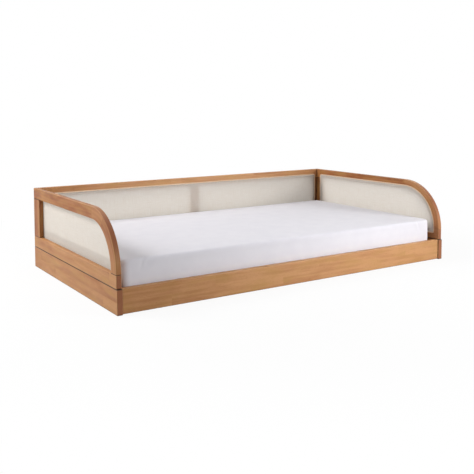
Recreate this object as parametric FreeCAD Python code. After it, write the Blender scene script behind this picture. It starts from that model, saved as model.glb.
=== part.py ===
import FreeCAD, Part
import os
from math import cos, sin, radians
from FreeCAD import Vector

# Single bed for a child's room: a low board base, a guard on three sides that ends at the open
# front in quarter-round arches, screens of stretched fabric, slats and a mattress in its sheet.
# Millimetres. X runs along the bed, the open front faces -Y, +Z is up, and the origin is on the
# floor under the middle of the bed.

# Mattress, which the bed is built around
mattress_length = 1905.0
mattress_width = 990.0
mattress_thickness = 160.0
mattress_corner = 34.0          # plan radius of its corners
mattress_edge = 14.0            # rounding of its top and bottom edges
mattress_crown = 7.0            # rise of the middle of its top
mattress_end_crown = 1.0        # rise of the top near its ends
mattress_side_swell = 5.0       # bulge of the long sides at mid height
mattress_end_swell = 1.0        # the same near the corners
mattress_draw_in = 4.0          # how far the long sides pull in between the corners
sheet_thickness = 1.4
sheet_play = 0.3                # between the mattress and the sheet
sheet_hem = 90.0                # what is tucked under the mattress
gap_left = 10.0
gap_right = 26.0
gap_front = 7.0
gap_back = 33.0

# Base
base_height = 111.0
board_thickness = 27.0          # end boards
rail_thickness = 27.0           # front and back rails
rail_setback = 6.0              # front rail behind the ends of the boards
rail_floor_gap = 2.0
edge_radius = 3.0               # easing of every long edge

# Guard
bed_height = 430.0
guard_thickness = 24.0
guard_setback = 6.0             # side guards behind the front ends of the boards
bottom_rail_height = 59.0
band_width = 56.0               # top rails and arches
side_post_width = 88.0
end_post_width = 36.0
centre_post_width = 60.0
tenon_thickness = 8.0
tenon_length = 22.0
tenon_shoulder = 8.0            # wood left beside a tenon on each edge of its piece
joint_play = 0.1                # glue line round tenons, dowels and screws

# Screens
bare_band = 31.0                # wood left bare between the frame's edge and the groove
side_reveal = 33.0              # bare wood of a side post beside the back guard
corner_reveal = 17.0            # bare wood of the back guard beside a side guard
groove_width = 6.0
groove_depth = 5.0
groove_corner = 8.0             # inner radius of the groove's square corners
spline_play = 0.2
spline_crown = 1.5              # how far the spline stands out of its groove
screen_thickness = 1.0

# Slats
slat_count = 13
slat_width = 80.0
slat_thickness = 17.0
slat_end_play = 3.0
ledger_rise = 17.0              # ledger above the floor
ledger_width = 25.0
ledger_height = 30.0
ledger_end_play = 2.0

# Fixings
dowel_diameter = 10.0
dowel_length = 50.0
dowel_cover = 10.0              # wood left beyond a dowel in an end board
cam_diameter = 15.0
cam_depth = 12.0
cam_recess = 0.3                # drum below the face of the wood
cam_play = 0.2                  # bolt head in the drum
cam_axis_depth = 8.0            # bolt axis below that face
cam_reach = 16.0                # drum centre from the joint
cam_slot = 2.0                  # width of the driver slots
cam_slot_depth = 3.0
bolt_diameter = 6.0
bolt_head_diameter = 8.0
bolt_head_length = 4.0
bolt_thread_length = 11.0
screw_diameter = 4.5
screw_head_diameter = 8.4
screw_head_height = 3.2
slat_screw_length = 38.0
ledger_screw_length = 44.0
side_fixing_inset = 142.0       # end dowels under a side guard from its ends
back_fixing_inset = 118.5       # the same under the back guard

# Overall sizes that follow from the mattress
guard_wall = guard_thickness + spline_crown
end_wall = max(board_thickness, guard_wall)
back_wall = max(rail_thickness, guard_wall)
bed_length = gap_left + mattress_length + gap_right + 2 * end_wall
bed_width = rail_setback + rail_thickness + gap_front + mattress_width + gap_back + back_wall
left = -bed_length / 2
right = bed_length / 2
front = -bed_width / 2
back = bed_width / 2

# Levels
ledger_top = ledger_rise + ledger_height
slat_top = ledger_top + slat_thickness
guard_bottom = base_height
bottom_rail_top = guard_bottom + bottom_rail_height
top_rail_bottom = bed_height - band_width

# Guard lines
guard_front = front + guard_setback
guard_inner = right - guard_thickness        # inner face of the right guard
back_inner = back - guard_thickness          # inner face of the back guard
arch_radius = bed_height - bottom_rail_top
arch_end = guard_front + arch_radius         # where the arch meets the top rail
post_front = back - side_post_width

# Base lines
rail_bottom = rail_floor_gap
rail_height = base_height - rail_floor_gap
rail_left = left + board_thickness
rail_right = right - board_thickness
front_rail_inner = front + rail_setback + rail_thickness
back_rail_inner = back - rail_thickness
mattress_left = left + end_wall + gap_left
mattress_front = front_rail_inner + gap_front


def box(x0, x1, y0, y1, z0, z1):
    return Part.makeBox(x1 - x0, y1 - y0, z1 - z0, Vector(x0, y0, z0))


def cylinder(diameter, start, end):
    # Round bar from one point to another
    run = end - start
    return Part.makeCylinder(diameter / 2, run.Length, start, run)


def ease(shape, along=None):
    # Rounds every edge, or only the straight edges that run along one direction
    edges = shape.Edges
    if along is not None:
        edges = [e for e in edges if abs(e.tangentAt(e.FirstParameter).dot(along)) > 0.999]
    return shape.makeFillet(edge_radius, edges)


def mirrored(shape):
    # The right-hand twin of a left-hand piece
    return shape.mirror(Vector(0, 0, 0), Vector(1, 0, 0))


def cut_all(shape, tools):
    for tool in tools:
        shape = shape.cut(tool)
    return shape


def evenly(middle, spacing, count):
    # Places in a row about its middle
    return [middle + spacing * (i - (count - 1) / 2) for i in range(count)]


along_x = Vector(1, 0, 0)
along_y = Vector(0, 1, 0)
along_z = Vector(0, 0, 1)


# Joinery


def dowel(joint, direction, depth):
    # A dowel that goes half its length along direction and to another depth the other way,
    # with the hole that both pieces share
    start = joint - direction * depth
    end = joint + direction * (dowel_length / 2)
    play = direction * joint_play
    pin = cylinder(dowel_diameter, start, end)
    hole = cylinder(dowel_diameter + 2 * joint_play, start - play, end + play)
    return pin, hole


def cam_fixing(joint, inward, face):
    # A bolt that is screwed into one piece and held by a drum that turns in the other.
    # joint is on the bolt's axis, inward points to the drum, face to the side it is set in from.
    centre = joint + inward * cam_reach
    top = centre + face * (cam_axis_depth - cam_recess)
    bottom = top - face * cam_depth
    drum = cylinder(cam_diameter, bottom, top)
    mouth = bolt_head_diameter + 2 * cam_play
    drum = drum.cut(cylinder(mouth, centre - inward * cam_diameter, centre + inward * bolt_head_length / 2))
    cross = inward.cross(face)
    for arm in (inward, cross):
        other = face.cross(arm)
        corner = top - arm * cam_diameter - other * (cam_slot / 2) - face * cam_slot_depth
        slot = Part.Wire(
            Part.makePolygon(
                [
                    corner,
                    corner + arm * (2 * cam_diameter),
                    corner + arm * (2 * cam_diameter) + other * cam_slot,
                    corner + other * cam_slot,
                    corner,
                ]
            )
        )
        drum = drum.cut(Part.Face(slot).extrude(face * (2 * cam_slot_depth)))
    thread_end = joint - inward * bolt_thread_length
    head_start = centre - inward * (bolt_head_length / 2)
    head_end = centre + inward * (bolt_head_length / 2 - joint_play)
    bolt = cylinder(bolt_diameter, thread_end, head_start)
    bolt = bolt.fuse(cylinder(bolt_head_diameter, head_start, head_end)).removeSplitter()
    pocket_top = centre + face * (cam_axis_depth + cam_diameter)
    pocket = cylinder(cam_diameter + 2 * joint_play, bottom - face * joint_play, pocket_top)
    bore = cylinder(mouth, joint, centre)
    pilot = cylinder(bolt_diameter + joint_play, thread_end - inward * joint_play, joint)
    return drum, bolt, [pocket, bore], [pilot]


def screw(head, direction, length, play=0.0, rise=0.0):
    # A countersunk screw, or its hole when it has play and rises past the face.
    # head is the middle of its flat top.
    head_radius = screw_head_diameter / 2 + play
    shank_radius = screw_diameter / 2 + play
    shape = Part.makeCylinder(shank_radius, length + play, head, direction)
    shape = shape.fuse(Part.makeCone(head_radius, shank_radius, screw_head_height, head, direction))
    if rise:
        shape = shape.fuse(Part.makeCylinder(head_radius, rise, head - direction * rise, direction))
    return shape.removeSplitter()


dowels_base = []
dowels_guard = []
drums = []
bolts = []
cuts = {}


def drill(node, tools):
    cuts.setdefault(node, []).extend(tools)


def add_dowel(group, joint, direction, depth, node_a, node_b):
    pin, hole = dowel(joint, direction, depth)
    group.append(pin)
    drill(node_a, [hole])
    drill(node_b, [hole])


def add_cam(joint, inward, face, drum_node, bolt_node):
    drum, bolt, in_drum_piece, in_bolt_piece = cam_fixing(joint, inward, face)
    drums.append(drum)
    bolts.append(bolt)
    drill(drum_node, in_drum_piece)
    drill(bolt_node, in_bolt_piece)


parts = {}

# Base: two end boards with the front and back rails butted between them
parts["base_left_board"] = ease(box(left, rail_left, front, back, 0, base_height))
parts["base_right_board"] = mirrored(parts["base_left_board"])
for node, outer, inner in (
    ("base_front_rail", front + rail_setback, front_rail_inner),
    ("base_back_rail", back, back_rail_inner),
):
    rail = box(rail_left, rail_right, min(outer, inner), max(outer, inner), rail_bottom, base_height)
    parts[node] = ease(rail, along_x)
    face = along_y if inner > outer else -along_y
    for board, x, inward in (
        ("base_left_board", rail_left, along_x),
        ("base_right_board", rail_right, -along_x),
    ):
        # two dowels and a cam over each other, at equal steps up the rail
        middle = (outer + inner) / 2
        for step in (1, 2):
            z = rail_bottom + rail_height * step / 4
            depth = board_thickness - dowel_cover
            add_dowel(dowels_base, Vector(x, middle, z), inward, depth, node, board)
        cam_y = inner - face.y * cam_axis_depth
        add_cam(Vector(x, cam_y, rail_bottom + rail_height * 3 / 4), inward, face, node, board)

# Ledgers and slats
ledgers = (
    ("front_slat_ledger", front_rail_inner, 1, "base_front_rail"),
    ("back_slat_ledger", back_rail_inner, -1, "base_back_rail"),
)
slat_pitch = (rail_right - rail_left) / slat_count
ledger_screws = []
for node, face_y, side, rail in ledgers:
    far_y = face_y + side * ledger_width
    bar = box(
        rail_left + ledger_end_play,
        rail_right - ledger_end_play,
        min(face_y, far_y),
        max(face_y, far_y),
        ledger_rise,
        ledger_top,
    )
    parts[node] = bar
    # a screw in every second gap between the slats
    for x in evenly(0, slat_pitch, slat_count - 1)[::2]:
        head = Vector(x, far_y, ledger_rise + ledger_height / 2)
        ledger_screws.append(screw(head, along_y * -side, ledger_screw_length))
        hole = screw(head, along_y * -side, ledger_screw_length, joint_play, edge_radius)
        drill(node, [hole])
        drill(rail, [hole])

slat_front = front_rail_inner + slat_end_play
slat_back = back_rail_inner - slat_end_play
slat_screws = []
for i, x in enumerate(evenly(0, slat_pitch, slat_count)):
    node = "slat_%02d" % (i + 1)
    slat = box(x - slat_width / 2, x + slat_width / 2, slat_front, slat_back, ledger_top, slat_top)
    parts[node] = ease(slat, along_y)
    for ledger, face_y, side, rail in ledgers:
        head = Vector(x, face_y + side * ledger_width / 2, slat_top)
        slat_screws.append(screw(head, -along_z, slat_screw_length))
        hole = screw(head, -along_z, slat_screw_length, joint_play, edge_radius)
        drill(node, [hole])
        drill(ledger, [hole])

# Side guard, built on the left and mirrored: straight rails and post, and a quarter-round arch
left_inner = -guard_inner
tenon_x0 = (left + left_inner - tenon_thickness) / 2
tenon_x1 = tenon_x0 + tenon_thickness


def side_tenon(y0, y1, z0, z1, play=0.0):
    return box(tenon_x0 - play, tenon_x1 + play, y0 - play, y1 + play, z0 - play, z1 + play)


def quarter_ring(outer, inner, x0, x1):
    # Quarter ring about the arch's centre, from straight ahead to straight up
    def at(radius, angle):
        y = arch_end - radius * cos(radians(angle))
        z = bottom_rail_top + radius * sin(radians(angle))
        return Vector(x0, y, z)

    edges = [
        Part.Arc(at(outer, 0), at(outer, 45), at(outer, 90)).toShape(),
        Part.LineSegment(at(outer, 90), at(inner, 90)).toShape(),
        Part.Arc(at(inner, 90), at(inner, 45), at(inner, 0)).toShape(),
        Part.LineSegment(at(inner, 0), at(outer, 0)).toShape(),
    ]
    return Part.Face(Part.Wire(edges)).extrude(Vector(x1 - x0, 0, 0))


bottom_rail = ease(box(left, left_inner, guard_front, back, guard_bottom, bottom_rail_top))
top_rail = box(left, left_inner, arch_end, back, top_rail_bottom, bed_height)
top_rail = top_rail.makeFillet(
    edge_radius,
    [e for e in top_rail.Edges if not all(abs(v.Y - arch_end) < edge_radius for v in e.Vertexes)],
)
post = ease(box(left, left_inner, post_front, back, bottom_rail_top, top_rail_bottom), along_z)
arch = quarter_ring(arch_radius, arch_radius - band_width, left, left_inner)
arch = arch.makeFillet(edge_radius, [e for e in arch.Edges if e.Curve.TypeId == "Part::GeomCircle"])

post_tenon = (post_front + tenon_shoulder, back - tenon_shoulder)
foot_tenon = (guard_front + tenon_shoulder, guard_front + band_width - tenon_shoulder)
post = post.fuse(
    [
        side_tenon(*post_tenon, bottom_rail_top - tenon_length, bottom_rail_top),
        side_tenon(*post_tenon, top_rail_bottom, top_rail_bottom + tenon_length),
    ]
).removeSplitter()
crown_tenon = (top_rail_bottom + tenon_shoulder, bed_height - tenon_shoulder)
arch = arch.fuse(
    [
        side_tenon(*foot_tenon, bottom_rail_top - tenon_length, bottom_rail_top),
        side_tenon(arch_end, arch_end + tenon_length, *crown_tenon),
    ]
).removeSplitter()
bottom_rail = cut_all(
    bottom_rail,
    [
        side_tenon(*post_tenon, bottom_rail_top - tenon_length, bottom_rail_top, joint_play),
        side_tenon(*foot_tenon, bottom_rail_top - tenon_length, bottom_rail_top, joint_play),
    ],
)
top_rail = cut_all(
    top_rail,
    [
        side_tenon(*post_tenon, top_rail_bottom, top_rail_bottom + tenon_length, joint_play),
        side_tenon(arch_end, arch_end + tenon_length, *crown_tenon, joint_play),
    ],
)


# Screens: fabric that lies on the inner face of a frame, held by a spline in a groove


def rounded_outline(points, radii):
    # Closed wire through the corners, each rounded with an arc of its own radius
    edges = []
    ends = []
    count = len(points)
    for i, (corner, radius) in enumerate(zip(points, radii)):
        before = (points[i - 1] - corner).normalize()
        after = (points[(i + 1) % count] - corner).normalize()
        start = corner + before * radius
        end = corner + after * radius
        middle = corner + (before + after) * (radius * (1 - cos(radians(45))))
        ends.append((start, end))
        edges.append(Part.Arc(start, middle, end).toShape())
        if i:
            edges.append(Part.LineSegment(ends[i - 1][1], start).toShape())
    edges.append(Part.LineSegment(ends[-1][1], ends[0][0]).toShape())
    return Part.Wire(Part.__sortEdges__(edges))


def side_outline(inset):
    # Outline on the inner face of the left guard, moved in from the outer edge of the groove
    y0 = guard_front + bare_band + inset
    y1 = back_inner - side_reveal - inset
    z0 = guard_bottom + bare_band + inset
    z1 = bed_height - bare_band - inset
    points = [
        Vector(left_inner, y0, z0),
        Vector(left_inner, y1, z0),
        Vector(left_inner, y1, z1),
        Vector(left_inner, y0, z1),
    ]
    square = groove_corner + groove_width - inset
    return rounded_outline(points, [square, square, square, arch_radius - bare_band - inset])


def back_outline(inset):
    # The same on the inner face of the back guard
    x1 = guard_inner - corner_reveal - inset
    z0 = guard_bottom + bare_band + inset
    z1 = bed_height - bare_band - inset
    points = [
        Vector(-x1, back_inner, z0),
        Vector(x1, back_inner, z0),
        Vector(x1, back_inner, z1),
        Vector(-x1, back_inner, z1),
    ]
    return rounded_outline(points, [groove_corner + groove_width - inset] * 4)


def ring(outline, outer_inset, inner_inset, low, height):
    # Band between two insets of an outline, from one level above the frame's face
    outer = Part.Face(outline(outer_inset))
    inner = Part.Face(outline(inner_inset))
    band = outer.cut(inner)
    band.translate(low)
    return band.extrude(height)


def screen_set(outline, normal):
    # The groove, the spline in it and the fabric inside it; normal points away from the frame
    groove = ring(outline, 0, groove_width, normal * -groove_depth, normal * (groove_depth + spline_crown))
    tall = groove_depth - spline_play + spline_crown
    low = normal * (spline_play - groove_depth)
    spline = ring(outline, spline_play, groove_width - spline_play, low, normal * tall)
    level = outline(0).Vertexes[0].Point.dot(normal) + spline_crown
    crest = [e for e in spline.Edges if all(abs(v.Point.dot(normal) - level) < 1e-6 for v in e.Vertexes)]
    spline = spline.makeFillet(min(spline_crown, groove_width / 4), crest)
    fabric = Part.Face(outline(groove_width)).extrude(normal * screen_thickness)
    return groove, spline, fabric


side_groove, side_spline, side_fabric = screen_set(side_outline, along_x)
back_groove, back_spline, back_fabric = screen_set(back_outline, -along_y)

side_pieces = {
    "bottom_rail": bottom_rail.cut(side_groove),
    "back_post": post.cut(side_groove),
    "top_rail": top_rail.cut(side_groove),
    "arch": arch.cut(side_groove),
    "screen": side_fabric,
    "screen_spline": side_spline,
}
for name, shape in side_pieces.items():
    parts["left_guard_" + name] = shape
    parts["right_guard_" + name] = mirrored(shape)

# Back guard: two rails with three posts tenoned between them, set between the side guards
back_bottom = ease(box(-guard_inner, guard_inner, back_inner, back, guard_bottom, bottom_rail_top), along_x)
back_top = ease(box(-guard_inner, guard_inner, back_inner, back, top_rail_bottom, bed_height), along_x)
tenon_y0 = (back_inner + back - tenon_thickness) / 2
tenon_y1 = tenon_y0 + tenon_thickness
back_posts = (
    ("back_guard_left_post", -guard_inner, end_post_width),
    ("back_guard_centre_post", -centre_post_width / 2, centre_post_width),
    ("back_guard_right_post", guard_inner - end_post_width, end_post_width),
)
for node, x0, width in back_posts:
    shape = ease(box(x0, x0 + width, back_inner, back, bottom_rail_top, top_rail_bottom), along_z)
    for rail_level, z0 in (
        ("bottom", bottom_rail_top - tenon_length),
        ("top", top_rail_bottom),
    ):
        x_in = x0 + tenon_shoulder
        x_out = x0 + width - tenon_shoulder
        shape = shape.fuse(box(x_in, x_out, tenon_y0, tenon_y1, z0, z0 + tenon_length))
        mortise = box(
            x_in - joint_play,
            x_out + joint_play,
            tenon_y0 - joint_play,
            tenon_y1 + joint_play,
            z0 - joint_play,
            z0 + tenon_length + joint_play,
        )
        if rail_level == "bottom":
            back_bottom = back_bottom.cut(mortise)
        else:
            back_top = back_top.cut(mortise)
    parts[node] = shape.removeSplitter().cut(back_groove)
parts["back_guard_bottom_rail"] = back_bottom.cut(back_groove)
parts["back_guard_top_rail"] = back_top.cut(back_groove)
parts["back_guard_screen"] = back_fabric
parts["back_guard_screen_spline"] = back_spline

# Guards on the base: dowels to place them, with a cam midway between two to pull them down
side_middle = (guard_front + back) / 2
side_fixing_spacing = (back - guard_front) / 2 - side_fixing_inset
back_fixing_spacing = (guard_inner - back_fixing_inset) * 2 / 3
for hand, outer_x, inward_x in (("left", left, 1), ("right", right, -1)):
    rail = hand + "_guard_bottom_rail"
    board = "base_" + hand + "_board"
    dowel_x = outer_x + inward_x * guard_thickness / 2
    for y in evenly(side_middle, side_fixing_spacing, 3):
        joint = Vector(dowel_x, y, guard_bottom)
        add_dowel(dowels_guard, joint, along_z, dowel_length / 2, rail, board)
    cam_x = outer_x + inward_x * (guard_thickness - cam_axis_depth)
    for y in evenly(side_middle, side_fixing_spacing, 2):
        add_cam(Vector(cam_x, y, guard_bottom), along_z, along_x * inward_x, rail, board)
for x in evenly(0, back_fixing_spacing, 4):
    joint = Vector(x, back - guard_thickness / 2, guard_bottom)
    add_dowel(dowels_guard, joint, along_z, dowel_length / 2, "back_guard_bottom_rail", "base_back_rail")
for x in evenly(0, back_fixing_spacing, 3):
    joint = Vector(x, back_inner + cam_axis_depth, guard_bottom)
    add_cam(joint, along_z, -along_y, "back_guard_bottom_rail", "base_back_rail")

# Back corners: cams set in from behind pull the end posts against the side posts
post_height = top_rail_bottom - bottom_rail_top
for hand, joint_x, inward in (("left", -guard_inner, along_x), ("right", guard_inner, -along_x)):
    for step in (1, 2):
        joint = Vector(joint_x, back - cam_axis_depth, bottom_rail_top + post_height * step / 3)
        end_post = "back_guard_" + hand + "_post"
        add_cam(joint, inward, along_y, end_post, hand + "_guard_back_post")

for node, tools in cuts.items():
    parts[node] = cut_all(parts[node], tools)

parts["base_dowels"] = Part.makeCompound(dowels_base)
parts["guard_dowels"] = Part.makeCompound(dowels_guard)
parts["cam_drums"] = Part.makeCompound(drums)
parts["cam_bolts"] = Part.makeCompound(bolts)
parts["ledger_screws"] = Part.makeCompound(ledger_screws)
parts["slat_screws"] = Part.makeCompound(slat_screws)


# Mattress and fitted sheet: crowned forms lofted along the bed through rounded sections


def mattress_form(shrink):
    # The sheet's outer form, moved in all round by shrink
    x_mid = mattress_left + mattress_length / 2
    y_mid = mattress_front + mattress_width / 2
    z_low = slat_top + shrink
    z_high = slat_top + mattress_thickness - shrink
    half_length = mattress_length / 2 - shrink
    bulge = max(mattress_end_swell, mattress_side_swell - mattress_draw_in)
    half_width = mattress_width / 2 - bulge - shrink

    def section(x, narrow, lower, swell, crown):
        # narrow and lower draw the section in near the ends of the mattress
        w = half_width - narrow
        low = z_low + lower
        high = z_high - lower
        r = min(mattress_edge, (high - low) / 3)
        k = r * (1 - cos(radians(45)))

        def at(y, z):
            return Vector(x_mid + x, y_mid + y, z)

        mid_z = (low + high) / 2
        return Part.Wire(
            [
                Part.LineSegment(at(-w + r, low), at(w - r, low)).toShape(),
                Part.Arc(at(w - r, low), at(w - k, low + k), at(w, low + r)).toShape(),
                Part.Arc(at(w, low + r), at(w + swell, mid_z), at(w, high - r)).toShape(),
                Part.Arc(at(w, high - r), at(w - k, high - k), at(w - r, high)).toShape(),
                Part.Arc(at(w - r, high), at(0, high + crown), at(-w + r, high)).toShape(),
                Part.Arc(at(-w + r, high), at(-w + k, high - k), at(-w, high - r)).toShape(),
                Part.Arc(at(-w, high - r), at(-w - swell, mid_z), at(-w, low + r)).toShape(),
                Part.Arc(at(-w, low + r), at(-w + k, low + k), at(-w + r, low)).toShape(),
            ]
        )

    # end sections step in like the rounding of the corners
    flat = half_length - mattress_corner
    stations = []
    for turn in (90, 75, 60, 45, 30, 15):
        narrow = mattress_corner * (1 - cos(radians(turn)))
        lower = mattress_edge * (1 - cos(radians(turn)))
        stations.append((flat + mattress_corner * sin(radians(turn)), narrow, lower, 0))
    # between them the sides pull in and the top rises towards the middle
    for share in (1, 0.75, 0.5, 0.25):
        stations.append((flat * share, mattress_draw_in * (1 - share * share), 0, 1 - share * share))
    stations += [(0, mattress_draw_in, 0, 1)]
    stations += [(-x, narrow, lower, rise) for x, narrow, lower, rise in reversed(stations[:-1])]
    wires = []
    for x, narrow, lower, rise in stations:
        swell = mattress_end_swell + rise * (mattress_side_swell - mattress_end_swell)
        crown = mattress_end_crown + rise * (mattress_crown - mattress_end_crown)
        wires.append(section(x, narrow, lower, swell, crown))
    return Part.makeLoft(wires, True, True)


sheet_outer = mattress_form(0)
sheet_inner = mattress_form(sheet_thickness)
parts["mattress_core"] = mattress_form(sheet_thickness + sheet_play)
under = box(
    mattress_left + sheet_hem,
    mattress_left + mattress_length - sheet_hem,
    mattress_front + sheet_hem,
    mattress_front + mattress_width - sheet_hem,
    slat_top - sheet_thickness,
    slat_top + mattress_thickness / 2,
)
parts["fitted_sheet"] = sheet_outer.cut(sheet_inner).cut(under)

os.makedirs("parts", exist_ok=True)
for node, shape in parts.items():
    shape.exportStep("parts/%s.step" % node)
    print("%-28s solids %2d  volume %10.1f cm3  valid %s" % (
        node, len(shape.Solids), shape.Volume / 1000, shape.isValid()))
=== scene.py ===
import math
import bpy
import bmesh
from mathutils import Matrix, Vector, noise
from mathutils.bvhtree import BVHTree


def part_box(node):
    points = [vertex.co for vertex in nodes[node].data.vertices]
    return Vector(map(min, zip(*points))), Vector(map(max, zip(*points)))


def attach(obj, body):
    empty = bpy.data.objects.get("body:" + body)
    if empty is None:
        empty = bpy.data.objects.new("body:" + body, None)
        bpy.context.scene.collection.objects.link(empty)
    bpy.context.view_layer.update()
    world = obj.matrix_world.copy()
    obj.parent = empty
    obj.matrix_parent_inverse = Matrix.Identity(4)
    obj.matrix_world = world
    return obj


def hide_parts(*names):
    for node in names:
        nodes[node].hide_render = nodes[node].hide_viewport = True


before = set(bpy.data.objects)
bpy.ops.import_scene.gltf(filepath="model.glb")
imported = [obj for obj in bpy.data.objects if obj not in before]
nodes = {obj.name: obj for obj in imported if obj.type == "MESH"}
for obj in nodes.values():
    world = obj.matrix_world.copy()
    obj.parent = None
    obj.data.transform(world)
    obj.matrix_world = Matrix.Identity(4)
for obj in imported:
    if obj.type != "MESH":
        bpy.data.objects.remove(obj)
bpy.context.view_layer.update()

scene = bpy.context.scene
scene.view_settings.view_transform = "Standard"
waveWidth = 0.314    # metres from crest to crest of a wave texture at a scale of 1
print("frame loaded:", len(nodes), "CAD pieces")


def linear(hexColour):  # sRGB hex to the linear colour that the nodes want
    channels = [int(hexColour[i:i + 2], 16) / 255 for i in (1, 3, 5)]
    return [c / 12.92 if c <= 0.04045 else ((c + 0.055) / 1.055) ** 2.4 for c in channels] + [1.0]


def addNode(tree, kind, inputs=None, **settings):  # a node, its settings, and values or links into it
    node = tree.nodes.new(kind)
    for key, value in settings.items():
        setattr(node, key, value)
    for key, value in (inputs or {}).items():
        if isinstance(value, bpy.types.NodeSocket):
            tree.links.new(value, node.inputs[key])
        else:
            node.inputs[key].default_value = value
    return node


def newFinish(name):  # an empty material with one Principled shader
    finish = bpy.data.materials.new(name)
    finish.use_nodes = True
    tree = finish.node_tree
    tree.nodes.clear()
    shader = addNode(tree, "ShaderNodeBsdfPrincipled")
    addNode(tree, "ShaderNodeOutputMaterial", {"Surface": shader.outputs["BSDF"]})
    return finish, tree, shader


def paint(piece, finish):
    piece.data.materials.clear()
    piece.data.materials.append(finish)


def addPiece(name, bm):  # a bmesh becomes a smooth-shaded object at the origin
    mesh = bpy.data.meshes.new(name)
    bm.to_mesh(mesh)
    bm.free()
    mesh.shade_smooth()
    piece = bpy.data.objects.new(name, mesh)
    scene.collection.objects.link(piece)
    return piece


# Honey-oiled beech, planed, sanded and hand rubbed with oil: straight grain with broad soft growth
# rings, short dark ray flecks, staves of slightly different tone, darker end grain, satin sheen
oiledBeech = {
    # darkest stop, reached mostly by the two right back posts, where it is painted shade
    "deepToneAndShade": "#6E4126",
    "dark": "#985B31",
    "middle": "#B57E51",
    "pale": "#C99565",
    "yellow": "#B88B4E",    # cast of some patches
    # darker end grain, and on the arches the colour of painted shade on the curved faces
    "endGrainAndShade": "#905639",
    "rubbed": "#CFA274",    # handled edges
    "joint": "#2E180D",     # painted shade in the joints and crevices
    "jointReach": 0.006,
    "jointWidth": 0.0034,
    "ringWidth": 0.008,     # growth ring
    "streakWidth": 0.012,
    "streakLength": 0.45,
    "fleckWidth": 0.0016,   # real ones are 0.5 mm, drawn coarser to show
    "fleckLength": 0.011,
    "staveHeight": 0.0555,  # edge-glued staves of the base boards and rails
    "staveLength": 0.61,
    "bendRadius": 0.23,     # mean radius of the arches
    "baseTone": -0.02,      # 0 is dark and 1 is pale, and each figure adds its share
    "ringShare": 0.07,
    "streakShare": 0.32,
    "patchShare": 0.66,
    "staveShare": 0.2,
    "fleckShare": 0.3,
    "yellowShare": 0.55,
    "endAndShadeShare": 0.8,
    "jointShare": 0.9,
    "roughness": 0.46,
    "specular": 0.28,
    "relief": 0.0006,
}


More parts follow.
